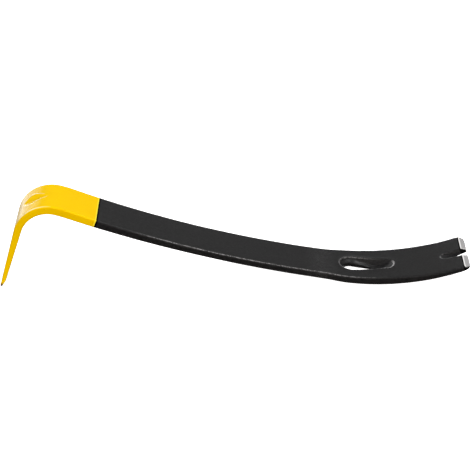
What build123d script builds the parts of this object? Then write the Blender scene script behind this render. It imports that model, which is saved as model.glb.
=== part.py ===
from build123d import *

from math import asin, cos, radians, sin
import os

from numpy import interp

# Flat pry bar of the 12-3/4 inch class: a forged steel strip with a hook, a shank and a claw,
# enamelled yellow on the hook and black on the rest.
#
# It lies as it rests on a bench: hook at -X, claw at +X, +Z up, and XZ is its plane of
# symmetry. It stands on the edge of the hook and on the heel under the nail slot. Sizes are
# millimetres and degrees. A "place" is a developed length, along the centre line from the
# edge of the hook. A "rise" is a distance from the centre line towards the outer face.

# Centre line: leg of the hook, bend, soft neck, shank, and the heel that the bar rocks on.
leg_tilt = 72.8
leg_length = 43.4
bend_radius = 22.0
bend_turn = 89.07
neck_radius = 98.0
neck_turn = 4.9
shank_radius = 858.0
shank_turn = 12.65
heel_radius = 182.5
heel_turn = 29.8

# Steel thickness: hook edge, knee, end of bend, start and middle of shank, heel, slot, claw edge.
thickness_places = (0.0, 43.4, 77.5, 116.0, 200.0, 275.0, 310.0, 370.3)
thickness_values = (2.3, 4.9, 5.9, 5.35, 4.6, 4.75, 5.25, 2.6)

# Steel width: the shank is slim, both ends are 1-3/4 inch wide over the enamel.
shank_width = 34.4
end_width = 44.05
flare_places = (255.0, 268.5, 284.5, 322.5, 345.0, 371.5)
flare_widths = (34.4, 34.8, 38.3, 40.7, 42.6, 44.15)
edge_radius = 1.0
corner_radius = 5.5

# Ground bevels: on the inner side of the hook and on the upper side of the claw.
hook_bevel = 4.5
claw_bevel = 3.6
cutting_edge = 0.7

# An opening is a teardrop on each face of the bar: the places and the radii of its two ends.
# Nail slot: a round end towards the hook and a narrow end towards the claw.
slot_wide = ((288.5, 9.5), (312.2, 6.3))
slot_tight = ((288.2, 5.35), (305.0, 2.0))

# V notches, measured in from the cutting edge: past the edge, then at the root.
notch_wide = ((-2.0, 5.1), (15.2, 3.7))
notch_tight = ((-2.0, 3.6), (6.7, 2.2))

# Pressed stiffening dart across the bend: half-width over depth of its V at each end.
dart_places = (53.4, 70.6)
dart_groove_slopes = (4.3, 1.5)
dart_rib_slopes = (3.0, 3.0)
dart_reach = 2.6

# Enamel: it stops at the paint line and just short of the bare cutting edges.
enamel = 0.2
paint_line_place = 105.1
bare_edge = 0.4

# Each stretch of the centre line: its length, and its curvature to the left of the way on.
stretches = (
    (leg_length, 0.0),
    (bend_radius * radians(bend_turn), -1 / bend_radius),
    (neck_radius * radians(neck_turn), -1 / neck_radius),
    (shank_radius * radians(shank_turn), 1 / shank_radius),
    (heel_radius * radians(heel_turn), 1 / heel_radius),
)
bar_length = sum(length for length, _ in stretches)
slot_middle = (slot_wide[0][0] + slot_wide[1][0]) / 2
notch_middle = notch_wide[1][0] / 2
clear = 80.0


def centre_line(place):
    """Point in the side view, and heading in radians, with the hook's edge at 0, 0."""
    x, z, heading = 0.0, 0.0, radians(leg_tilt)
    for length, curvature in stretches:
        run = min(length, place)
        if curvature:
            turned = heading + curvature * run
            x += (sin(turned) - sin(heading)) / curvature
            z -= (cos(turned) - cos(heading)) / curvature
            heading = turned
        else:
            x += run * cos(heading)
            z += run * sin(heading)
        place -= run
    return x, z, heading


def half_thickness(place):
    return float(interp(place, thickness_places, thickness_values)) / 2


def raised(place, rise):
    """Side-view point that stands rise off the centre line."""
    x, z, heading = centre_line(place)
    return x - rise * sin(heading), z + rise * cos(heading)


# The origin is under the middle of the bar, at bench height.
faces = (1, -1)
samples = [bar_length * step / 740 for step in range(741)]
skin = [raised(place, face * (half_thickness(place) + enamel)) for place in samples for face in faces]
x_middle = (min(x for x, _ in skin) + max(x for x, _ in skin)) / 2
z_bench = min(z for x, z in skin if x > x_middle)


def side_point(place, rise):
    x, z = raised(place, rise)
    return x - x_middle, z - z_bench


def directions(place):
    """Unit vectors along the bar and out of its outer face."""
    heading = centre_line(place)[2]
    return (cos(heading), 0, sin(heading)), (-sin(heading), 0, cos(heading))


def face_plane(place, rise):
    """Plane parallel to the bar's faces: local X runs along the bar, local Z out of it."""
    x, z = side_point(place, rise)
    along, out = directions(place)
    return Plane(origin=(x, 0, z), x_dir=along, z_dir=out)


def cross_plane(place):
    """Plane square to the bar, facing the claw."""
    x, z = side_point(place, 0)
    return Plane(origin=(x, 0, z), x_dir=(0, 1, 0), z_dir=directions(place)[0])


def side_edge(face, grow):
    """The outer (1) or inner (-1) edge in the side view: its points and its end directions."""
    bend_steps = [leg_length + 6.5 * step for step in range(1, 7)]
    rest = bar_length - bend_steps[-1]
    shank_steps = [bend_steps[-1] + rest * step / 18 for step in range(1, 18)]
    places = [0, leg_length] + bend_steps + shank_steps + [bar_length]
    points = [side_point(place, face * (half_thickness(place) + grow)) for place in places]
    near_end = side_point(bar_length - 1, face * (half_thickness(bar_length - 1) + grow))
    leg_way = (points[1][0] - points[0][0], points[1][1] - points[0][1])
    end_way = (points[-1][0] - near_end[0], points[-1][1] - near_end[1])
    return points, (leg_way, end_way)


def teardrop(plane, first_at, first_radius, second_at, second_radius):
    """Two round ends on the plane's X axis, joined by the straight lines that touch both."""
    lean = asin((first_radius - second_radius) / (second_at - first_at))
    first = (first_at + first_radius * sin(lean), first_radius * cos(lean))
    second = (second_at + second_radius * sin(lean), second_radius * cos(lean))
    with BuildSketch(plane) as outline:
        with BuildLine():
            ThreePointArc((first[0], -first[1]), (first_at - first_radius, 0), first)
            Line(first, second)
            ThreePointArc(second, (second_at + second_radius, 0), (second[0], -second[1]))
            Line((second[0], -second[1]), (first[0], -first[1]))
        make_face()
    return outline.sketch


def tapered_opening(middle, outer, inner, grow):
    """Two teardrops, one above and one below the bar, for a loft that cuts through it."""
    half = half_thickness(middle)
    sections = []
    for rise in (1.9 * half, -1.4 * half):
        share = (rise + half) / (2 * half)
        ends = []
        for (outer_at, outer_radius), (inner_at, inner_radius) in zip(outer, inner):
            ends.append(inner_at + share * (outer_at - inner_at) - middle)
            ends.append(inner_radius + share * (outer_radius - inner_radius) - grow)
        sections.append(teardrop(face_plane(middle, rise), *ends))
    return sections


def from_claw_edge(ends):
    """The places of a notch at the claw, in order along the bar."""
    return tuple((bar_length - place, radius) for place, radius in reversed(ends))


def dart_wedge(face, slopes, grow):
    """Two V sections at the ends of the dart, for a loft along its straight valley or ridge."""
    ends = [side_point(place, face * (half_thickness(place) + grow)) for place in dart_places]
    chord = (ends[1][0] - ends[0][0], 0, ends[1][1] - ends[0][1])
    sections = []
    for (x, z), slope in zip(ends, slopes):
        half_width = slope * dart_reach
        with BuildSketch(Plane(origin=(x, 0, z), x_dir=(0, 1, 0), z_dir=chord)) as section:
            with BuildLine():
                Line((0, 0), (half_width, dart_reach))
                Line((half_width, dart_reach), (-half_width, dart_reach))
                Line((-half_width, dart_reach), (0, 0))
            make_face()
        sections.append(section.sketch)
    return sections


def bar(grow):
    """The whole bar, grow bigger all round: 0 for its steel, the enamel's thickness over it."""
    outer, outer_ways = side_edge(1, grow)
    inner, inner_ways = side_edge(-1, grow)
    knee_x = inner[1][0]
    half_shank = shank_width / 2 + grow
    half_end = end_width / 2 + grow
    flare = [
        (side_point(place, 0)[0], width / 2 + grow) for place, width in zip(flare_places, flare_widths)
    ]
    with BuildPart() as blank:
        # Side view of the strip.
        with BuildSketch(Plane.XZ.offset(-clear)):
            with BuildLine():
                Line(outer[0], outer[1])
                Spline(*outer[1:], tangents=outer_ways, tangent_scalars=(1, 1))
                Line(outer[-1], inner[-1])
                Spline(*inner[1:], tangents=inner_ways, tangent_scalars=(1, 1))
                Line(inner[0], inner[1])
                Line(inner[0], outer[0])
            make_face()
        extrude(amount=2 * clear)
        # Top view: the shank, then the flare to the claw.
        with BuildSketch(Plane.XY.offset(-clear)):
            with BuildLine():
                Line((knee_x - clear, 0), (knee_x - clear, clear))
                Line((knee_x - clear, clear), (knee_x, clear))
                Line((knee_x, clear), (knee_x, half_shank))
                Line((knee_x, half_shank), flare[0])
                Spline(*flare, tangents=((1, 0), (1, 0.045)), tangent_scalars=(1, 1))
                Line(flare[-1], (flare[-1][0], 0))
                mirror(about=Plane.XZ)
            make_face()
        extrude(amount=2 * clear, mode=Mode.INTERSECT)
        # Square to the leg: the hook widens down to its edge.
        with BuildSketch(face_plane(leg_length, -bend_radius)):
            with BuildLine():
                foot = (-leg_length - 3, half_end + 0.5)
                Line((bend_radius, half_shank), (0, half_shank))
                Spline((0, half_shank), foot, tangents=((-1, 0), (-1, 0.2)))
                Line(foot, (foot[0], clear))
                Line((foot[0], clear), (bend_radius, clear))
                Line((bend_radius, clear), (bend_radius, half_shank))
            make_face()
            mirror(about=Plane.XZ)
        extrude(amount=2 * bend_radius, mode=Mode.SUBTRACT)
        # Rounded long edges: those at the sides that are longer than the bar is thick.
        long_edges = [
            edge
            for edge in blank.edges()
            if abs(edge.center().Y) > half_shank - edge_radius
            and edge.length > 1.3 * max(thickness_values)
        ]
        fillet(long_edges, radius=edge_radius + grow)
        # Rounded corners of the claw.
        with BuildSketch(face_plane(bar_length, -clear)):
            with Locations((-corner_radius, half_end - corner_radius)):
                Rectangle(clear, clear, align=Align.MIN)
                Circle(corner_radius, mode=Mode.SUBTRACT)
            mirror(about=Plane.XZ)
        extrude(amount=2 * clear, mode=Mode.SUBTRACT)
        # Bevels. The hook's is ground before the enamel and the claw's after it.
        for edge_place, flat_place, face, cover in (
            (0, hook_bevel, -1, grow),
            (bar_length, bar_length - claw_bevel, 1, 0),
        ):
            flat_start = side_point(flat_place, face * (half_thickness(flat_place) + cover))
            flat_end = side_point(edge_place, face * (cutting_edge - half_thickness(edge_place) + cover))
            run = (flat_end[0] - flat_start[0], flat_end[1] - flat_start[1])
            before = (flat_start[0] - run[0], flat_start[1] - run[1])
            beyond = (flat_end[0] + run[0], flat_end[1] + run[1])
            lift = side_point(edge_place, face * end_width / 4)
            with BuildSketch(Plane.XZ.offset(-clear)):
                with BuildLine():
                    Line(before, beyond)
                    Line(beyond, lift)
                    Line(lift, before)
                make_face()
            extrude(amount=2 * clear, mode=Mode.SUBTRACT)
        # Stiffening dart: a rib inside the bend and a V groove outside it.
        loft(dart_wedge(-1, dart_rib_slopes, grow))
        loft(dart_wedge(1, dart_groove_slopes, grow), mode=Mode.SUBTRACT)
        # Nail slot, and the V notch at each end. A nail's head sits on the wider face.
        for middle, outer_ends, inner_ends in (
            (slot_middle, slot_wide, slot_tight),
            (bar_length - notch_middle, from_claw_edge(notch_wide), from_claw_edge(notch_tight)),
            (notch_middle, notch_tight, notch_wide),
        ):
            loft(tapered_opening(middle, outer_ends, inner_ends, grow), mode=Mode.SUBTRACT)
    return blank.part


steel = bar(0)
enamelled = bar(enamel)

with BuildPart() as forged_bar:
    add(steel)

with BuildPart() as yellow_enamel:
    add(enamelled)
    add(steel, mode=Mode.SUBTRACT)
    split(bisect_by=cross_plane(bare_edge), keep=Keep.TOP)
    split(bisect_by=cross_plane(paint_line_place), keep=Keep.BOTTOM)

with BuildPart() as black_enamel:
    add(enamelled)
    add(steel, mode=Mode.SUBTRACT)
    split(bisect_by=cross_plane(paint_line_place), keep=Keep.TOP)
    split(bisect_by=cross_plane(bar_length - bare_edge), keep=Keep.BOTTOM)

os.makedirs("parts", exist_ok=True)

forged_bar.part.label = "forged_bar"
export_step(forged_bar.part, "parts/forged_bar.step")

yellow_enamel.part.label = "yellow_enamel"
export_step(yellow_enamel.part, "parts/yellow_enamel.step")

black_enamel.part.label = "black_enamel"
export_step(black_enamel.part, "parts/black_enamel.step")
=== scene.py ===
import math

import bmesh
import bpy
import numpy as np
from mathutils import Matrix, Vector, noise
from mathutils.geometry import delaunay_2d_cdt


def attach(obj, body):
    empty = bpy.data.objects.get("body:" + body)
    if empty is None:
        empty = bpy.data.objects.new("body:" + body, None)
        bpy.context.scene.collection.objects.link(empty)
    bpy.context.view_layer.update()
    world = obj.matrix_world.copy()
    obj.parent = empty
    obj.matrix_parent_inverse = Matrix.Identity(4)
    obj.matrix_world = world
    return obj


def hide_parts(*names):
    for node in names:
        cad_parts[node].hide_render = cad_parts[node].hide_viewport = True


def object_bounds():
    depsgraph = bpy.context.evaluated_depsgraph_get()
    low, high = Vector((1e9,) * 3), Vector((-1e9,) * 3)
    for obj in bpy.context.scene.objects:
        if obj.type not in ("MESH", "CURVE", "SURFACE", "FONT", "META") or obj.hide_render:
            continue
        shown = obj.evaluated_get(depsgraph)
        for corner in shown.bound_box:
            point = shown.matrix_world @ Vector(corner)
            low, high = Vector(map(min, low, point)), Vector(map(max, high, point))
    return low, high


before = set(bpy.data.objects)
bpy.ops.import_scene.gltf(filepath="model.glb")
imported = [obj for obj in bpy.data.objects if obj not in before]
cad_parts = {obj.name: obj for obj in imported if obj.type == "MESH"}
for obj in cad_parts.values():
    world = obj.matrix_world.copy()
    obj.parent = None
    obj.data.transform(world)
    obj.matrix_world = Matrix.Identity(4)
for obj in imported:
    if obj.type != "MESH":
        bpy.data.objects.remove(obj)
cad_box = [list(corner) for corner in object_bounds()]

# A flat pry bar: forged steel, enamelled yellow on its hook and black on the rest.
#
# The bar is shaped flat and then bent. On the flat strip, u is the distance along the centre
# line from the edge of the hook, v the distance across, and n the distance out of the outer
# face, all in millimetres. bend() takes the strip to the frame, in metres.

# Centre line and section of the strip, as in the CAD part.
LEG_TILT = math.radians(72.8)
STRETCHES = (
    (43.4, 0.0),
    (22.0 * math.radians(89.07), -1 / 22.0),
    (98.0 * math.radians(4.9), -1 / 98.0),
    (858.0 * math.radians(12.65), 1 / 858.0),
    (182.5 * math.radians(29.8), 1 / 182.5),
)
LENGTH = sum(length for length, _ in STRETCHES)
THICKNESS = (
    (0.0, 43.4, 77.5, 116.0, 200.0, 275.0, 310.0, LENGTH),
    (2.3, 4.9, 5.9, 5.35, 4.6, 4.75, 5.25, 2.6),
)
WIDTH = (
    (0.0, 8.0, 20.0, 32.0, 43.4, 60.0, 255.0, 268.5, 284.5, 322.5, 345.0, LENGTH),
    (43.9, 41.0, 37.45, 35.2, 34.4, 34.4, 34.4, 34.8, 38.3, 40.7, 42.6, 44.05),
)
EDGE_RADIUS = ((0.0, 6.0, 30.0, 345.0, 362.0, LENGTH), (0.3, 0.6, 1.0, 1.0, 0.6, 0.15))
SLOT_LIP = 0.3  # how far the punched slot raises the outer face at its rim
HOOK_CORNER = 0.8
CLAW_CORNER = 5.5
HOOK_BEVEL = 4.5
CLAW_BEVEL = 3.6
CUTTING_EDGE = 0.7

# Openings: the place and radius of both ends of a teardrop, on the tight and on the wide face.
# A nail's head sits on the wide face. The notches are measured in from the cutting edges.
SLOT = {"tight": ((287.8, 5.35), (304.4, 1.9)), "wide": ((288.5, 9.25), (312.2, 6.2))}
NOTCH = {"tight": ((-2.0, 3.6), (6.7, 2.2)), "wide": ((-2.0, 5.1), (15.2, 3.7))}

# Pressed dart across the bend: a V groove outside and a rib inside.
DART = (53.4, 70.6)
GROOVE_SLOPES = (4.3, 1.5)
RIB_SLOPES = (3.0, 3.0)

# Enamel: its thickness, the line between the colours, and the bare strip at each cutting edge.
ENAMEL = 0.2
PAINT_LINE = 105.1
BARE_EDGE = 0.4

# Mesh: distance between points, where the rounded edges are divided, as parts of the radius,
# and where an opening's wall is divided, as parts of the way from its tight to its wide outline.
STEP = 1.5
ROUND_SHARES = (0.0, 0.034, 0.134, 0.293, 0.5, 0.741, 1.0)
SLOT_SHARES = (
    0.0, 0.03, 0.07, 0.12, 0.18, 0.25, 0.33, 0.42, 0.51, 0.6, 0.68,
    0.76, 0.83, 0.89, 0.94, 0.98, 1.02, 1.08, 1.18, 1.3,
)
NOTCH_SHARES = (0.0, 0.05, 0.12, 0.22, 0.35, 0.5, 0.65, 0.8, 0.92, 1.0, 1.08, 1.2, 1.4)


# ---- The strip ----


def curve(x, points):
    """Smooth curve through the points that never swings past them."""
    xs, ys = np.array(points[0]), np.array(points[1])
    steps = np.diff(ys) / np.diff(xs)
    before, after = steps[:-1], steps[1:]
    same_way = before * after > 0
    middle = np.where(same_way, 2 * before * after / np.where(same_way, before + after, 1), 0)
    slopes = np.concatenate([steps[:1], middle, steps[-1:]])
    i = np.clip(np.searchsorted(xs, x) - 1, 0, len(xs) - 2)
    gap = xs[i + 1] - xs[i]
    t = np.clip((x - xs[i]) / gap, 0, 1)
    start = (1 + 2 * t) * (1 - t) ** 2 * ys[i] + t * (1 - t) ** 2 * gap * slopes[i]
    return start + t * t * (3 - 2 * t) * ys[i + 1] - t * t * (1 - t) * gap * slopes[i + 1]


def centre_line(u):
    """Side-view place and heading of the centre line, with the hook's edge at 0, 0."""
    x, z, heading = np.zeros_like(u), np.zeros_like(u), np.full_like(u, LEG_TILT)
    left = u.copy()
    for number, (length, curvature) in enumerate(STRETCHES):
        last = number == len(STRETCHES) - 1
        run = np.maximum(left, 0) if last else np.clip(left, 0, length)
        if number == 0:
            run = np.minimum(left, length)
        if curvature:
            turned = heading + curvature * run
            x += (np.sin(turned) - np.sin(heading)) / curvature
            z -= (np.cos(turned) - np.cos(heading)) / curvature
            heading = turned
        else:
            x += run * np.cos(heading)
            z += run * np.sin(heading)
        left = left - run
    return x, z, heading


def raised(u, n):
    """Side-view place of a point at n off the centre line."""
    x, z, heading = centre_line(u)
    return x - n * np.sin(heading), z + n * np.cos(heading)


def teardrop(u, v, ends):
    """Distance outside a teardrop: two round ends joined by the lines that touch both."""
    (first, r1), (second, r2) = ends
    gap = second - first
    lean = (r1 - r2) / gap
    flat = math.sqrt(1 - lean * lean)
    across, along = np.abs(v), u - first
    k = flat * along - lean * across
    side = flat * across + lean * along - r1
    near = np.hypot(across, along) - r1
    far = np.hypot(across, along - gap) - r2
    return np.where(k < 0, near, np.where(k > flat * gap, far, side))


def openings(u):
    """The nail slot and the two notches: outlines, places along them, and their wide face."""
    return ((SLOT, u, 1), (NOTCH, LENGTH - u, 1), (NOTCH, u, -1))


def rounded_corner(across, along, radius):
    """Distance inside a rounded corner, from the distances inside its two sides."""
    p, q = np.maximum(radius - across, 0), np.maximum(radius - along, 0)
    nearest = np.minimum(across, along)
    return np.where(nearest < radius, radius - np.hypot(p, q), nearest)


def inside_outline(u, v):
    """Distance in from the outline of the strip, leaving its openings aside."""
    across = curve(u, WIDTH) / 2 - np.abs(v)
    hook_end = rounded_corner(across, u, HOOK_CORNER)
    claw_end = rounded_corner(across, LENGTH - u, CLAW_CORNER)
    return np.minimum(hook_end, claw_end)


def inside_strip(u, v):
    """Distance in from every edge of the strip, below 0 outside it."""
    outside = [teardrop(along, v, opening["tight"]) for opening, along, _ in openings(u)]
    return np.minimum(inside_outline(u, v), np.min(outside, axis=0))


def soft_min(a, b, width):
    """The smaller of the two, with the crease between them rounded off over the width."""
    mix = np.maximum(width - np.abs(a - b), 0) / width
    return np.minimum(a, b) - mix * mix * width / 4


def rounded(distance, radius):
    """How far a rounded edge falls away at a distance in from it."""
    reach = np.clip(radius - distance, 0, radius)
    return radius - np.sqrt(radius * radius - reach * reach)


def unevenness(u, v, seed, scale):
    """Slow random waves of a hammered and rolled surface, from -1 to 1."""
    places = np.stack([u / scale, v / scale, np.full_like(u, seed)], axis=1)
    return np.array([noise.noise(Vector(place)) for place in places])


def opening_share(along, v, opening):
    """0 on an opening's tight outline and 1 on its wide one."""
    tight = teardrop(along, v, opening["tight"])
    wide = teardrop(along, v, opening["wide"])
    return np.clip(tight / np.maximum(tight - wide, 0.1), 0, 1.6)


def sunk_wall(inside, share, floor_height, half):
    """Height of an opening's wall: a hole, a floor above it, and steep sides up to the face."""
    side = half - 2.2 * inside
    sunk = -soft_min(-floor_height, -side, 0.4)
    hole = -half + 0.3 + share * 8.4 * half
    return soft_min(hole, sunk, 0.3)


def notch_wall(along, v, half):
    """Height of a notch's wall: its floor climbs from the tight root to the wide one."""
    (tight_root, tight_radius), (wide_root, wide_radius) = NOTCH["tight"][1], NOTCH["wide"][1]
    low, high = tight_root + tight_radius, wide_root + wide_radius
    climb = np.clip((along - low) / (high - low), 0, 1.2)
    inside = -teardrop(along, v, NOTCH["wide"])
    return sunk_wall(inside, opening_share(along, v, NOTCH), half * (2 * climb - 1), half)


def slot_wall(u, v, half):
    """Height of the nail slot's wall: its floor is a ledge, then a ramp up to the claw."""
    share = opening_share(u, v, SLOT)
    inside = -teardrop(u, v, SLOT["wide"])
    ramp_start, ramp_end = sum(SLOT["tight"][1]), sum(SLOT["wide"][1])
    narrow = np.clip((u - 290) / 14, 0, 1)
    ledge = 0.42 - 0.26 * narrow + (0.40 - 0.30 * narrow) * share
    ramp = (u - ramp_start) / (ramp_end - ramp_start)
    floor_height = half * (-2 * soft_min(-ledge, -ramp, 0.1) - 1)
    return sunk_wall(inside, share, floor_height, half)


def dart_height(u, v, face, half):
    """Height of the dart's valley or rib over the middle of the strip."""
    ends = raised(np.array(DART), face * curve(np.array(DART), THICKNESS) / 2)
    (x1, x2), (z1, z2) = ends
    x, z, heading = centre_line(u)
    normal = np.stack([-np.sin(heading), np.cos(heading)])
    along = np.array([x2 - x1, z2 - z1])
    denominator = normal[0] * along[1] - normal[1] * along[0]
    n = ((x1 - x) * along[1] - (z1 - z) * along[0]) / denominator
    share = np.clip((u - DART[0]) / (DART[1] - DART[0]), 0, 1)
    slopes = GROOVE_SLOPES if face > 0 else RIB_SLOPES
    slope = slopes[0] + share * (slopes[1] - slopes[0])
    beyond = np.maximum(DART[0] - u, 0) + np.maximum(u - DART[1], 0)
    return face * n, np.sqrt(v * v + 0.25) - 0.5, slope, beyond


def height(u, v, face):
    """How far the steel's outer (1) or inner (-1) face stands off the middle of the strip."""
    half = curve(u, THICKNESS) / 2
    if face > 0:
        beside_slot = np.maximum(teardrop(u, v, SLOT["wide"]), 0)
        half = half + SLOT_LIP * np.exp(-((beside_slot / 2.0) ** 2))
    top = half - rounded(inside_outline(u, v), curve(u, EDGE_RADIUS))
    top = top + 0.05 * unevenness(u, v, 3.0 + face, 14.0) + 0.02 * unevenness(u, v, 7.0 + face, 4.5)
    for opening, along, wide_face in openings(u):
        if wide_face != face:
            top = top - rounded(teardrop(along, v, opening["tight"]), 0.3)
        elif opening is SLOT:
            top = soft_min(top, slot_wall(along, v, half), 0.2)
        else:
            top = soft_min(top, notch_wall(along, v, half), 0.2)
    line, aside, slope, beyond = dart_height(u, v, face, half)
    if face > 0:
        valley = line + aside / slope + beyond * 4
        lip = 0.10 * np.exp(-(((valley - top) * slope - 0.5) / 0.55) ** 2) * (beyond < 0.4)
        top = soft_min(top, valley, 0.25) + lip
    else:
        top = -soft_min(-top, -(line - aside / slope - beyond * 4), 0.6)
        bevel = CUTTING_EDGE - half + (2 * half - CUTTING_EDGE) * u / HOOK_BEVEL
        top = soft_min(top, bevel, 0.3)
    return top


# ---- The mesh of the strip ----


def touching(ends):
    """Lean of the lines that touch both round ends of a teardrop, as an angle."""
    (first, r1), (second, r2) = ends
    return math.asin((r1 - r2) / (second - first))


def arc(centre, radius, start, end, count):
    """Points on an arc about a place on the strip's middle."""
    angles = np.linspace(start, end, count + 1)
    return np.stack([centre + radius * np.cos(angles), radius * np.sin(angles)], axis=1)


def slot_outline(size):
    """Points round the nail slot on one face, as many on either."""
    (first, r1), (second, r2) = ends = SLOT[size]
    lean = touching(ends)
    quarter = math.pi / 2
    big = arc(first, r1, quarter - lean, 3 * quarter + lean, 40)
    small = arc(second, r2, lean - quarter, quarter - lean, 16)
    shares = np.linspace(0, 1, 30)[1:-1, None]
    near = big[-1] + shares * (small[0] - big[-1])
    far = small[-1] + shares * (big[0] - small[-1])
    return np.concatenate([big, near, small, far])


def notch_outline(size):
    """Points round a notch on one face, from mouth to mouth, as many on either."""
    ends = NOTCH[size]
    (_, (root, radius)) = ends
    lean = touching(ends)
    mouth = (radius + root * math.sin(lean)) / math.cos(lean)
    turn = arc(root, radius, lean - math.pi / 2, math.pi / 2 - lean, 16)
    shares = np.linspace(0, 1, 20)[:-1, None]
    near = np.array([0.0, -mouth]) + shares * (turn[0] - np.array([0.0, -mouth]))
    far = near[::-1] * np.array([1, -1])
    return np.concatenate([near, turn, far])


def strip_outline(step):
    """Points round the strip against the clock, with its two V notches cut in."""
    us = np.linspace(0, LENGTH - CLAW_CORNER, round(LENGTH / step))
    side = [(u, -float(curve(np.array(u), WIDTH)) / 2) for u in us[1:-1]]
    side = [point for point in side if point[0] > HOOK_CORNER + 0.4]
    end_half = WIDTH[1][-1] / 2
    start_half = WIDTH[1][0] / 2
    corner = [
        (LENGTH - CLAW_CORNER * (1 - math.sin(a)), -end_half + CLAW_CORNER * (1 - math.cos(a)))
        for a in np.linspace(0, math.pi / 2, 9)
    ]
    hook_corner = [
        (HOOK_CORNER * (1 - math.cos(a)), -start_half + HOOK_CORNER * (1 - math.sin(a)))
        for a in np.linspace(0, math.pi / 2, 5)
    ]
    near = hook_corner + side + corner
    far = [(u, -v) for u, v in reversed(near)]
    notch = notch_outline("tight")
    claw_notch = [(LENGTH - depth, v) for depth, v in notch]
    hook_notch = [(depth, v) for depth, v in notch]
    claw_end = end_points(LENGTH, end_half - CLAW_CORNER, claw_notch, step)
    hook_end = end_points(0.0, start_half - HOOK_CORNER, hook_notch, step)
    return near + claw_end + far + [(u, -v) for u, v in hook_end]


def end_points(end, half, notch, step):
    """An end of the strip from its near corner to its far corner, through its notch."""
    straight = np.linspace(-half, notch[0][1], max(3, round((half + notch[0][1]) / step)))[1:-1]
    near = [(end, v) for v in straight]
    return near + notch + [(end, -v) for v in reversed(straight)]


def ring_points(outline):
    """Points on the rounded edges, in rows that follow the outline outside its notches."""
    loop = np.array(outline)
    along = np.roll(loop, -1, axis=0) - np.roll(loop, 1, axis=0)
    inward = np.stack([-along[:, 1], along[:, 0]], axis=1) / np.hypot(*along.T)[:, None]
    points = []
    for share in ROUND_SHARES[1:]:
        distance = share * curve(loop[:, 0], EDGE_RADIUS)
        moved = loop + inward * distance[:, None]
        u, v = moved[:, 0], moved[:, 1]
        clear = np.abs(inside_strip(u, v) - distance) < 0.12 * distance + 0.01
        for opening, place, _ in openings(u):
            clear &= teardrop(place, v, opening["tight"]) > distance + 0.25
        points.extend(map(tuple, moved[clear]))
    return points


def wall_points():
    """Rows of points on the walls of the openings, from their tight to beyond their wide outline."""
    points = []
    tight, wide = slot_outline("tight"), slot_outline("wide")
    for share in SLOT_SHARES[1:]:
        points.extend(map(tuple, tight + share * (wide - tight)))
    tight, wide = notch_outline("tight"), notch_outline("wide")
    for share in NOTCH_SHARES[1:]:
        row = tight + share * (wide - tight)
        row = row[row[:, 0] > 0.75]
        points.extend((depth, v) for depth, v in row)
        points.extend((LENGTH - depth, v) for depth, v in row)
    return points


def grid_points():
    """Rows of points that follow the strip's sides, closer together on the dart."""
    us = np.arange(STEP, LENGTH, STEP)
    shares = np.linspace(-1, 1, 25)
    u, share = np.meshgrid(us, shares, indexing="ij")
    u, share = u.ravel(), share.ravel()
    v = share * (curve(u, WIDTH) / 2 - curve(u, EDGE_RADIUS))
    dart_block = (u > DART[0] - 4) & (u < DART[1] + 3) & (np.abs(v) < 9.2)
    u, v = u[~dart_block], v[~dart_block]
    fine_us, fine_vs = np.arange(DART[0] - 3.5, DART[1] + 3, 0.7), np.arange(-8.55, 8.6, 0.45)
    fine_u, fine_v = np.meshgrid(fine_us, fine_vs, indexing="ij")
    u, v = np.append(u, fine_u.ravel()), np.append(v, fine_v.ravel())
    side = curve(u, EDGE_RADIUS)
    reach = np.where(np.abs(v) + STEP > curve(u, WIDTH) / 2 - side, 1.0, 0.6)
    clear = inside_outline(u, v) > side * reach
    for opening, along, _ in openings(u):
        clear &= teardrop(along, v, opening["wide"]) > 0.5
        clear &= opening_share(along, v, opening) > (1.38 if opening is SLOT else 1.48)
    clear &= (u > 0.9) & (u < LENGTH - 0.9)
    return list(zip(u[clear], v[clear]))


def strip_surface():
    """The closed surface of the steel on the strip: its points and its faces."""
    outline = strip_outline(STEP)
    slot = list(map(tuple, slot_outline("tight")[::-1]))
    edges = [(i, (i + 1) % len(outline)) for i in range(len(outline))]
    edges += [(len(outline) + i, len(outline) + (i + 1) % len(slot)) for i in range(len(slot))]
    points = outline + slot + ring_points(outline) + wall_points() + grid_points()
    flat, _, faces, _, _, _ = delaunay_2d_cdt([Vector(p) for p in points], edges, [], 0, 1e-5)
    flat = np.array(flat)
    faces = np.array(faces)
    middle = flat[faces].mean(axis=1)
    faces = faces[inside_strip(middle[:, 0], middle[:, 1]) > 0]
    used = np.unique(faces)
    flat = flat[used]
    faces = np.searchsorted(used, faces)
    return close_strip(flat, faces)


def close_strip(flat, faces):
    """Outer and inner faces of the strip, joined by walls of three rows."""
    u, v = flat[:, 0], flat[:, 1]
    top, bottom = height(u, v, 1), -height(u, v, -1)
    bottom = np.minimum(bottom, top - 0.3)
    count = len(flat)
    directed = dict.fromkeys(edge for a, b, c in faces for edge in ((a, b), (b, c), (c, a)))
    rim = [edge for edge in directed if edge[::-1] not in directed]
    ring = {int(a): number for number, (a, _) in enumerate(rim)}
    rim_at = np.array([a for a, _ in rim])
    rim_u, rim_v, rim_top = u[rim_at], v[rim_at], top[rim_at]
    fall = (bottom - top)[rim_at]
    rows = [np.stack([rim_u, rim_v, rim_top + share * fall], axis=1) for share in (0.25, 0.5, 0.75)]
    points = np.concatenate([np.stack([u, v, top], 1), np.stack([u, v, bottom], 1)] + rows)
    quads = []
    for a, b in rim:
        left, right = ring[int(a)], ring[int(b)]
        levels_a = [a] + [2 * count + row * len(rim) + left for row in range(3)] + [count + a]
        levels_b = [b] + [2 * count + row * len(rim) + right for row in range(3)] + [count + b]
        for upper in range(4):
            quads.append((levels_a[upper], levels_a[upper + 1], levels_b[upper + 1], levels_b[upper]))
    sheets = [tuple(f) for f in faces] + [tuple(f[::-1] + count) for f in faces]
    return points, sheets + quads


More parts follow.
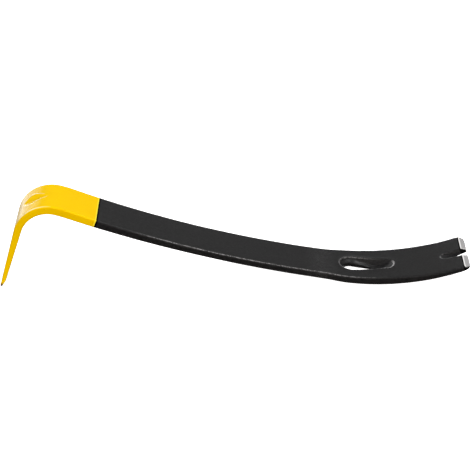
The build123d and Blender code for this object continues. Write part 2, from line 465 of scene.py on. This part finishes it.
def point_normals(points, faces):
    """Outward directions at the points, each face counting by its area."""
    triangles = []
    for face in faces:
        for corner in range(1, len(face) - 1):
            triangles.append((face[0], face[corner], face[corner + 1]))
    triangles = np.array(triangles)
    a, b, c = (points[triangles[:, corner]] for corner in range(3))
    cross = np.cross(b - a, c - a)
    normals = np.zeros_like(points)
    for corner in range(3):
        np.add.at(normals, triangles[:, corner], cross)
    return normals / np.linalg.norm(normals, axis=1)[:, None]


def mesh_of(points, faces):
    """A mesh being edited, with these points and faces."""
    made = bmesh.new()
    verts = [made.verts.new(point) for point in points]
    for face in faces:
        made.faces.new([verts[int(i)] for i in face])
    return made


def cut(made, place, out):
    """Takes away what lies beyond a plane, and closes the cut."""
    everything = made.verts[:] + made.edges[:] + made.faces[:]
    result = bmesh.ops.bisect_plane(
        made, geom=everything, dist=1e-5, plane_co=place, plane_no=out, clear_outer=True
    )
    loop = [part for part in result["geom_cut"] if isinstance(part, bmesh.types.BMEdge)]
    bmesh.ops.triangle_fill(made, edges=loop, use_beauty=True, normal=out)


def claw_bevel_plane():
    """Plane of the ground bevel on top of the claw: a point on it, and the way out of the steel."""
    start, end = LENGTH - CLAW_BEVEL, LENGTH
    high = float(curve(np.array(start), THICKNESS)) / 2
    low = CUTTING_EDGE - float(curve(np.array(end), THICKNESS)) / 2
    return (start, 0, high), Vector((high - low, 0, end - start)).normalized()


def bend(points):
    """Takes strip points in millimetres to the frame, in metres."""
    skin_u = np.repeat(np.linspace(0, LENGTH, 1500), 2)
    skin_n = np.tile([1, -1], 1500) * (curve(skin_u, THICKNESS) / 2 + ENAMEL)
    skin_x, skin_z = raised(skin_u, skin_n)
    middle_x = (skin_x.min() + skin_x.max()) / 2
    lowest_z = skin_z[skin_x > middle_x].min()
    x, z = raised(points[:, 0], points[:, 2])
    return np.stack([x - middle_x, points[:, 1], z - lowest_z], axis=1) / 1000


def edge_closeness(u, v):
    """1 on the strip's edges and on the rims of its openings, 0 away from them."""
    closeness = np.clip(1 - inside_outline(u, v) / 1.6, 0, 1)
    for opening, along, _ in openings(u):
        rim = np.abs(teardrop(along, v, opening["wide"]))
        closeness = np.maximum(closeness, np.clip(1 - rim / 0.9, 0, 1))
    return closeness


def rim_closeness(u, v):
    """1 on the rims of the dart, the slot and the notch on the outer face, 0 away from them."""
    line, aside, slope, beyond = dart_height(u, v, 1, curve(u, THICKNESS) / 2)
    outside = (line - curve(u, THICKNESS) / 2) * slope + aside
    closeness = np.clip(1 - np.abs(outside - 0.3) / 0.5, 0, 1) * (beyond < 0.4)
    for opening, along, face in openings(u):
        rim = np.abs(teardrop(along, v, opening["wide"]))
        closeness = np.maximum(closeness, np.clip(1 - rim / 0.6, 0, 1) * (face > 0))
    return closeness


def piece(name, made, material):
    """The finished object of a strip mesh, bent and smooth, with its strip places kept."""
    bmesh.ops.recalc_face_normals(made, faces=made.faces)
    mesh = bpy.data.meshes.new(name)
    made.to_mesh(mesh)
    made.free()
    points = np.zeros(len(mesh.vertices) * 3)
    mesh.vertices.foreach_get("co", points)
    points = points.reshape(-1, 3)
    strip = mesh.attributes.new("strip", "FLOAT_VECTOR", "POINT")
    strip.data.foreach_set("vector", points.ravel())
    edge = mesh.attributes.new("edge", "FLOAT", "POINT")
    edge.data.foreach_set("value", edge_closeness(points[:, 0], points[:, 1]))
    rim = mesh.attributes.new("rim", "FLOAT", "POINT")
    rim.data.foreach_set("value", rim_closeness(points[:, 0], points[:, 1]))
    mesh.vertices.foreach_set("co", bend(points).ravel())
    mesh.materials.append(material)
    mesh.shade_smooth()
    mesh.set_sharp_from_angle(angle=math.radians(38))
    made_object = bpy.data.objects.new(name, mesh)
    bpy.context.collection.objects.link(made_object)
    return made_object


# ---- Materials ----


class Shader:
    """A principled material and short ways to add nodes to it."""

    def __init__(self, name):
        self.material = bpy.data.materials.new(name)
        self.material.use_nodes = True
        self.nodes = self.material.node_tree.nodes
        self.links = self.material.node_tree.links
        self.surface = self.nodes["Principled BSDF"]

    def node(self, kind, inputs=(), **settings):
        made = self.nodes.new("ShaderNode" + kind)
        for key, value in settings.items():
            setattr(made, key, value)
        for key, value in dict(inputs).items():
            self.put(made.inputs[key], value)
        return made

    def put(self, socket, value):
        if isinstance(value, bpy.types.NodeSocket):
            self.links.new(value, socket)
        else:
            socket.default_value = value

    def set(self, **inputs):
        for key, value in inputs.items():
            name = key.replace("_", " ").title().replace("Ior", "IOR")
            self.put(self.surface.inputs[name], value)

    def attribute(self, name, output):
        return self.node("Attribute", attribute_name=name).outputs[output]

    def math(self, operation, a, b):
        made = self.node("Math", operation=operation)
        self.put(made.inputs[0], a)
        self.put(made.inputs[1], b)
        return made.outputs[0]

    def times(self, *values):
        """The product of the values."""
        product = values[0]
        for value in values[1:]:
            product = self.math("MULTIPLY", product, value)
        return product

    def noise(self, vector, size, detail=3.0, stretch=(1, 1, 1)):
        """Noise with features about size millimetres across, longer along the stretched ways."""
        scaled = self.node("VectorMath", operation="MULTIPLY")
        self.put(scaled.inputs[0], vector)
        scaled.inputs[1].default_value = tuple(1 / (size * way) for way in stretch)
        made = self.node("TexNoise", {"Vector": scaled.outputs[0], "Scale": 1.0, "Detail": detail})
        return made.outputs["Fac"]

    def between(self, value, low, high, to_low=0.0, to_high=1.0):
        """to_low at low and to_high at high, held beyond them. low may be the larger."""
        made = self.node("MapRange", clamp=True)
        for socket, number in zip(range(5), (value, low, high, to_low, to_high)):
            self.put(made.inputs[socket], number)
        return made.outputs[0]

    def band(self, value, start, full, fade, end):
        """0 at start, 1 from full to fade, and 0 again at end."""
        return self.times(self.between(value, start, full), self.between(value, end, fade))

    def mix(self, share, first, second):
        made = self.node("Mix", data_type="RGBA")
        self.put(made.inputs["Factor"], share)
        self.put(made.inputs[6], first)
        self.put(made.inputs[7], second)
        return made.outputs[2]

    def bump(self, height_value, depth, before=None):
        """Bump whose full height is depth millimetres."""
        made = self.node("Bump", {"Height": height_value, "Distance": depth / 1000})
        if before is not None:
            self.put(made.inputs["Normal"], before)
        return made.outputs[0]


def strip_places(s):
    """Places along, across and out of the strip, and its closeness to edges and to rims."""
    strip = s.attribute("strip", "Vector")
    along, across, rise = s.node("SeparateXYZ", {"Vector": strip}).outputs
    return strip, along, across, rise, s.attribute("edge", "Fac"), s.attribute("rim", "Fac")


def yellow_enamel():
    """Glossy yellow dip enamel with a slight orange peel.

    It has painted highlights, pale at the paint line, on the dart's rims and on the edges of the
    bend. It is dark with wear at the hook's tip.
    """
    s = Shader("yellow_enamel")
    strip, along, across, rise, edge, rim = strip_places(s)

    cloud = s.between(s.noise(strip, 22.0), 0.35, 0.65)
    colour = s.mix(cloud, (0.95, 0.60, 0.0, 1), (0.97, 0.625, 0.0, 1))
    nicks = s.between(s.noise(strip, 0.9, 4.0), 0.70, 0.73)
    nicked = s.times(nicks, s.between(edge, 0.75, 0.95))
    colour = s.mix(nicked, colour, (0.35, 0.24, 0.01, 1))

    # Painted highlight: pale yellow along the dart's rims on the outer face, fading out towards its
    # far rim.
    outside = s.between(rise, 1.0, 1.4)
    slanting = s.math("ADD", along, s.times(across, 0.8))
    dart_rim_painted_highlight = s.times(rim, outside, s.between(slanting, 71.5, 68.5))
    colour = s.mix(s.between(dart_rim_painted_highlight, 0.2, 0.7), colour, (1.0, 1.0, 0.7, 1))

    # Painted highlight: pale yellow along the upper edges of the bend.
    on_bend = s.band(along, 46, 54, 62, 74)
    bend_edge_painted_highlight = s.times(s.band(edge, 0.3, 0.5, 0.8, 0.95), on_bend, s.between(rise, 1.2, 1.8))
    colour = s.mix(bend_edge_painted_highlight, colour, (1.0, 0.92, 0.5, 1))

    # Painted highlight: brighter yellow just before the paint line, over the enamel's bead.
    bead = s.between(along, PAINT_LINE - 1.0, PAINT_LINE - 0.6)
    colour = s.mix(bead, colour, (1.0, 0.82, 0.04, 1))
    tip = s.between(along, 3.2, 1.4)
    colour = s.mix(tip, colour, (0.10, 0.07, 0.01, 1))

    peel = s.noise(strip, 1.3, 2.0)
    s.set(base_color=colour, roughness=s.between(peel, 0.3, 0.7, 0.18, 0.24))
    s.set(specular_ior_level=0.08, normal=s.bump(peel, 0.008))
    return s.material


def black_enamel():
    """Satin black enamel over forging scale, with dust specks, painted highlights on the upper edges
    and the rims, and painted shade at the paint line and the bevel.
    """
    s = Shader("black_enamel")
    strip, along, across, rise, edge, rim = strip_places(s)

    mottle = s.between(s.noise(strip, 1.2, 4.0), 0.35, 0.65)
    colour = s.mix(mottle, (0.007, 0.007, 0.0072, 1), (0.018, 0.018, 0.0185, 1))

    # Painted highlight: speckled light grey along the upper edges, only on the middle of the shank.
    top_edge = s.times(s.band(edge, 0.40, 0.55, 0.80, 0.95), s.between(rise, 1.2, 1.6))
    on_shank = s.band(along, 130, 150, 275, 310)
    shank_edge_painted_highlight = s.times(top_edge, on_shank, s.between(s.noise(strip, 0.7, 4.0), 0.43, 0.58))
    colour = s.mix(shank_edge_painted_highlight, colour, (0.26, 0.26, 0.265, 1))

    before_slot = s.band(along, 254, 264, 268, 278)
    scaly = s.times(before_slot, s.between(s.noise(strip, 0.8, 3.0), 0.5, 0.65))
    colour = s.mix(scaly, colour, (0.05, 0.05, 0.051, 1))

    # Painted highlight: speckled light grey on the near side of the outer rims of the slot and the
    # notch.
    rim_painted_highlight = s.times(rim, s.between(rise, 0.8, 1.4), s.between(across, 4.5, 0.0))
    rim_painted_highlight = s.times(rim_painted_highlight, s.between(s.noise(strip, 1.4, 4.0), 0.44, 0.58))
    colour = s.mix(rim_painted_highlight, colour, (0.24, 0.24, 0.245, 1))

    # Painted highlight: light grey speckles by the slot's narrow end.
    slot_end = s.times(s.band(along, 307, 312, 320, 322), s.band(across, -8.0, -6.5, 1.0, 4.0))
    slot_end_painted_highlight = s.times(slot_end, s.between(edge, 0.1, 0.3))
    slot_end_painted_highlight = s.times(slot_end_painted_highlight, s.between(s.noise(strip, 0.9, 3.0), 0.45, 0.57))
    colour = s.mix(slot_end_painted_highlight, colour, (0.42, 0.42, 0.425, 1))

    dust = s.node("TexVoronoi", {"Vector": strip, "Scale": 0.16})
    speck = s.between(dust.outputs["Distance"], 0.035, 0.02)
    colour = s.mix(speck, colour, (0.16, 0.16, 0.165, 1))

    # Painted shade: near-black lines on the coat just past the paint line and just before the claw's
    # bevel, with weaker gloss there too.
    bevel_start = LENGTH - CLAW_BEVEL
    off_paint_line = s.between(along, PAINT_LINE + 0.9, PAINT_LINE + 1.4, 0.1, 1)
    off_bevel = s.between(along, bevel_start - 0.6, bevel_start - 1.2, 0.15, 1)
    clear_of_painted_shade = s.times(off_paint_line, off_bevel)
    colour = s.mix(clear_of_painted_shade, (0.0, 0.0, 0.0, 1), colour)

    scale = s.noise(strip, 2.6, 5.0)
    grain = s.noise(strip, 0.5, 3.0)
    s.set(base_color=colour, roughness=s.between(scale, 0.3, 0.7, 0.34, 0.42))
    s.set(specular_ior_level=s.times(clear_of_painted_shade, 0.5))
    s.set(normal=s.bump(grain, 0.02, s.bump(scale, 0.04)))
    return s.material


def ground_steel():
    """Bare steel: ground across the bar on the bevels, with a painted highlight round the claw's
    bevel.
    """
    s = Shader("ground_steel")
    strip, along, _, _, _, rim = strip_places(s)
    lines = s.noise(strip, 0.22, 4.0, (0.5, 30, 0.5))
    cloud = s.noise(strip, 3.0)
    colour = s.mix(s.between(lines, 0.3, 0.7), (0.56, 0.56, 0.565, 1), (0.70, 0.70, 0.705, 1))
    colour = s.mix(s.between(cloud, 0.3, 0.7, 0, 0.25), colour, (0.50, 0.50, 0.505, 1))
    bevel_start = LENGTH - CLAW_BEVEL
    # Painted highlight: a white line where the claw's bevel starts and round the notch's rim.
    bevel_rim_painted_highlight = s.between(along, bevel_start + 0.8, bevel_start + 0.5)
    bevel_rim_painted_highlight = s.math("MAXIMUM", bevel_rim_painted_highlight, s.between(rim, 0.1, 0.5))
    colour = s.mix(bevel_rim_painted_highlight, colour, (1.0, 1.0, 1.0, 1))
    hook = s.between(along, 30, 20)
    colour = s.mix(hook, colour, (0.12, 0.10, 0.07, 1))
    s.set(base_color=colour, metallic=s.between(bevel_rim_painted_highlight, 0, 1, 0.5, 0))
    s.set(roughness=s.between(lines, 0.3, 0.7, 0.34, 0.5), normal=s.bump(lines, 0.012))
    return s.material


# ---- The pieces ----


def build_bar():
    """The steel and its two coats, cut from the one strip, in place of the CAD nodes."""
    points, faces = strip_surface()
    bevel_place, bevel_out = claw_bevel_plane()

    steel = mesh_of(points, faces)
    cut(steel, bevel_place, bevel_out)
    bar = piece("steel_bar", steel, ground_steel())

    outward = point_normals(points, faces)
    u = points[:, 0]
    bead = 1 + 0.35 * np.exp(-((u - PAINT_LINE) / 0.5) ** 2)
    coated = points + outward * (ENAMEL * bead)[:, None]
    both = np.concatenate([coated, points])
    shell = list(faces) + [tuple(int(i) + len(points) for i in reversed(face)) for face in faces]

    yellow = mesh_of(both, shell)
    cut(yellow, (BARE_EDGE, 0, 0), (-1, 0, 0))
    cut(yellow, (PAINT_LINE, 0, 0), (1, 0, 0))
    yellow_coat = piece("yellow_coat", yellow, yellow_enamel())

    black = mesh_of(both, shell)
    cut(black, (PAINT_LINE, 0, 0), (-1, 0, 0))
    cut(black, (LENGTH - BARE_EDGE, 0, 0), (1, 0, 0))
    cut(black, bevel_place, bevel_out)
    black_coat = piece("black_coat", black, black_enamel())

    for made, node, finish in (
        (bar, "forged_bar", "ground_steel"),
        (yellow_coat, "yellow_enamel", "yellow_enamel"),
        (black_coat, "black_enamel", "black_enamel"),
    ):
        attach(made, "root")
        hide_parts(node)


# ---- Studio ----


def floor():
    """A large pale floor that glows, so that it stays even and holds no shadow."""
    made = bmesh.new()
    bmesh.ops.create_grid(made, x_segments=8, y_segments=8, size=8)
    mesh = bpy.data.meshes.new("floor")
    made.to_mesh(mesh)
    made.free()
    s = Shader("floor")
    s.set(base_color=(0.9, 0.9, 0.9, 1), roughness=0.9, emission_color=(1, 1, 1, 1))
    s.set(emission_strength=1.0, specular_ior_level=0.0)
    mesh.materials.append(s.material)
    made_object = bpy.data.objects.new("floor", mesh)
    made_object.location.z = cad_box[0][2] - 0.0002
    made_object.visible_glossy = False
    made_object.visible_diffuse = False
    bpy.context.collection.objects.link(made_object)


def softbox(name, place, size, power, kind, colour=(1.0, 1.0, 1.0)):
    """A soft light aimed at the bar: a diffuse fill, or one that shows only in its gloss."""
    light = bpy.data.lights.new(name, "AREA")
    light.shape = "RECTANGLE"
    light.size, light.size_y = size
    light.energy = power
    light.color = colour
    made = bpy.data.objects.new(name, light)
    made.location = place
    made.rotation_euler = (-Vector(place)).to_track_quat("-Z", "Y").to_euler()
    made.visible_glossy = kind == "glossy"
    made.visible_diffuse = kind == "diffuse"
    bpy.context.collection.objects.link(made)
    return made


def reflected_room():
    """What the gloss shows: a dim room, a white table behind the bar, and dark in front of it."""
    world = bpy.data.worlds.new("world")
    bpy.context.scene.world = world
    world.use_nodes = True
    nodes, links = world.node_tree.nodes, world.node_tree.links
    way = nodes.new("ShaderNodeTexCoord")
    parts = nodes.new("ShaderNodeSeparateXYZ")
    rise = nodes.new("ShaderNodeMapRange")
    links.new(way.outputs["Generated"], parts.inputs[0])
    links.new(parts.outputs[2], rise.inputs[0])
    for socket, value in zip(rise.inputs[1:5], (-0.05, 0.12, 0.0, 1.0)):
        socket.default_value = value
    behind = nodes.new("ShaderNodeMapRange")
    links.new(parts.outputs[1], behind.inputs[0])
    for socket, value in zip(behind.inputs[1:5], (0.1, 0.6, 0.02, 0.9)):
        socket.default_value = value
    strength = nodes.new("ShaderNodeMix")
    links.new(rise.outputs[0], strength.inputs[0])
    links.new(behind.outputs[0], strength.inputs[2])
    strength.inputs[3].default_value = 0.2
    nodes["Background"].inputs["Color"].default_value = (1, 1, 1, 1)
    links.new(strength.outputs[0], nodes["Background"].inputs["Strength"])


def studio():
    """The floor and the lights: two diffuse fills, then three panels that the gloss shows."""
    floor()
    reflected_room()
    softbox("top", (0.2, 0.5, 2.1), (1.6, 1.2), 32.5, "diffuse")
    softbox("front", (0.2, -2.1, 0.8), (1.6, 1.2), 44, "diffuse", (1.0, 0.91, 0.86))
    softbox("left", (-1.63, 1.78, 0.15), (1.8, 1.6), 17, "glossy")
    softbox("strip", (-0.56, 2.43, -0.09), (0.97, 0.45), 14, "glossy")
    softbox("rim", (0.75, 0.5, 1.75), (0.5, 0.3), 4, "glossy")


def camera():
    """The camera at the photo's angle."""
    low, high = Vector(cad_box[0]), Vector(cad_box[1])
    aim = (low + high) / 2 + Vector((0.00021, 0, -0.00121))
    pitch = math.radians(28.627)
    distance = 1.1843
    focal_length, picture_width = 1700, 470
    data = bpy.data.cameras.new("camera")
    data.sensor_width = 36
    data.lens = data.sensor_width * focal_length / picture_width
    data.clip_end = 50
    made = bpy.data.objects.new("camera", data)
    made.location = aim + Vector((0, -math.cos(pitch), math.sin(pitch))) * distance
    made.rotation_euler = (math.pi / 2 - pitch, 0, 0)
    bpy.context.collection.objects.link(made)
    bpy.context.scene.camera = made


build_bar()
studio()
camera()
bpy.context.scene.view_settings.view_transform = "Standard"
